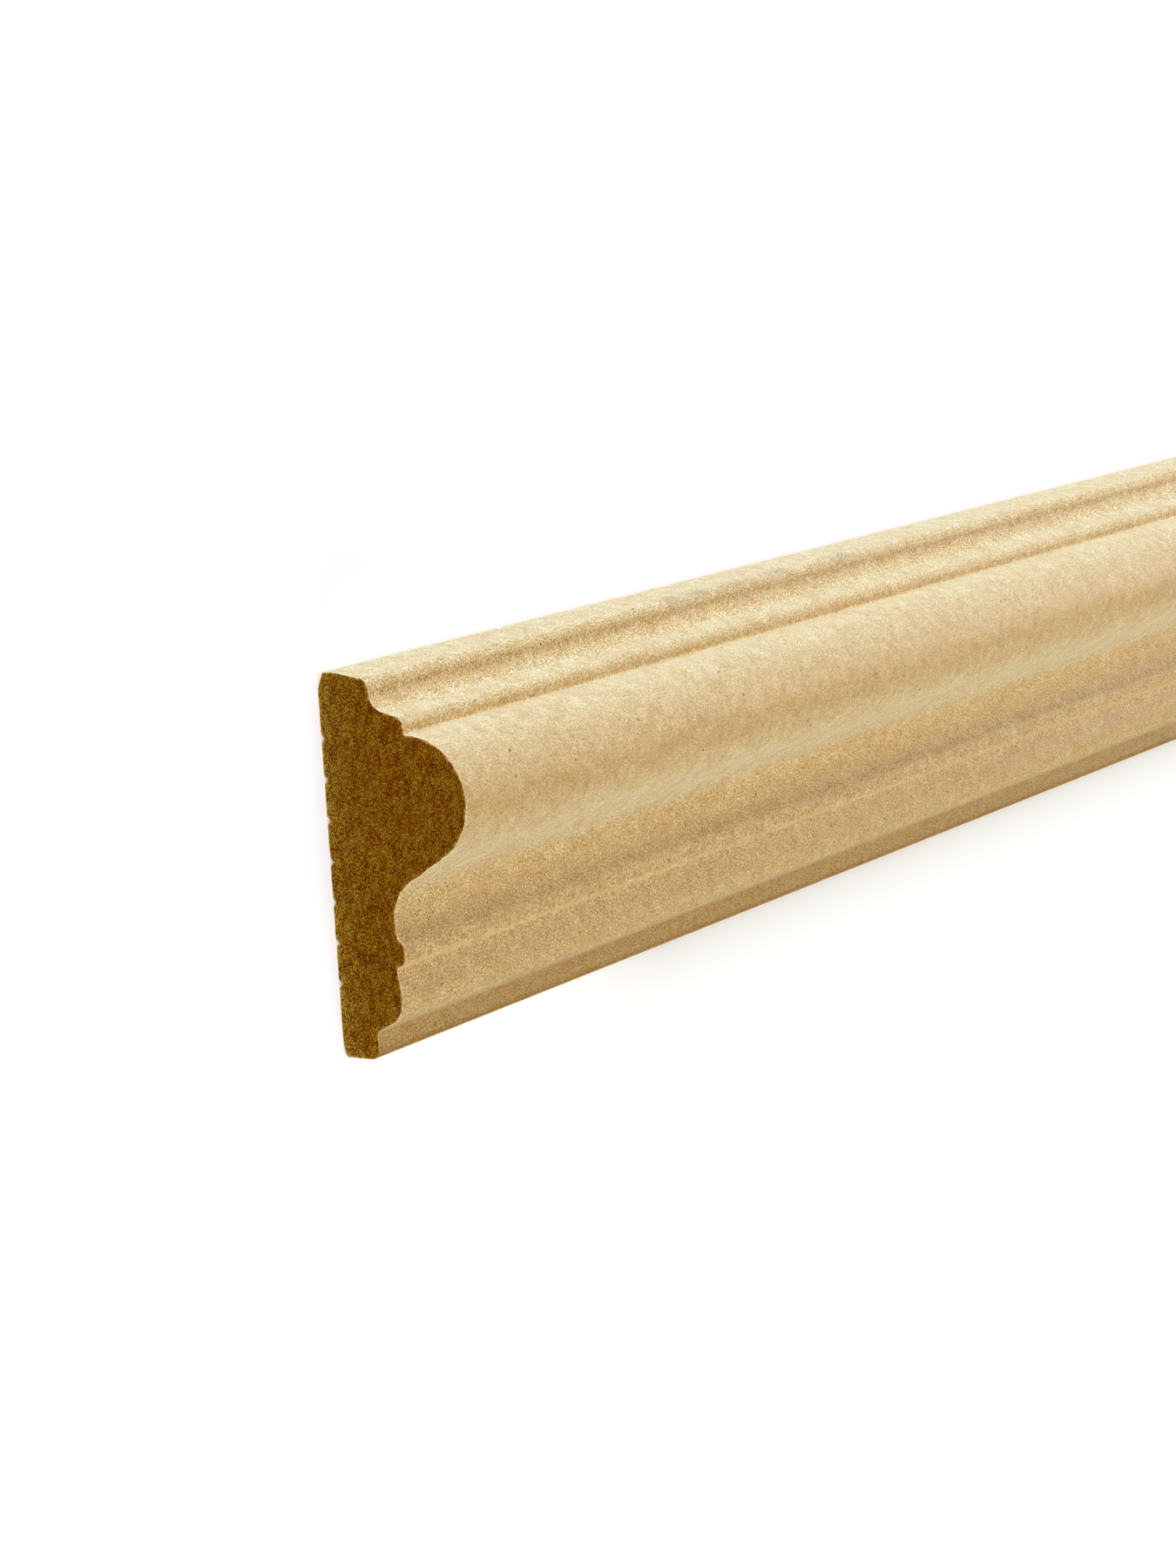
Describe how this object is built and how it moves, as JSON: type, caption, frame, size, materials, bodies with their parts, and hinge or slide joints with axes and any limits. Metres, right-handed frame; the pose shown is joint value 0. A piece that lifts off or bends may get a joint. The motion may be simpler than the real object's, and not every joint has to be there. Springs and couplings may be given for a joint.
{
  "type": "dado rail",
  "caption": "Moulded dado rail: a straight length of bare MDF with a rounded nose, cove and bead on its face and a flat grooved back.",
  "frame": {"origin": "middle of the back's flat plane, halfway along the rail and halfway up its width", "axes": "+X along the rail, +Y from its bottom edge to its top edge, +Z out from the back to the moulded face"},
  "size_m": [2.4, 0.058, 0.025],
  "materials": {
    "mdf": "bare moulded MDF, matt"
  },
  "bodies": {
    "root": {"dado_rail": "mdf"}
  },
  "joints": []
}
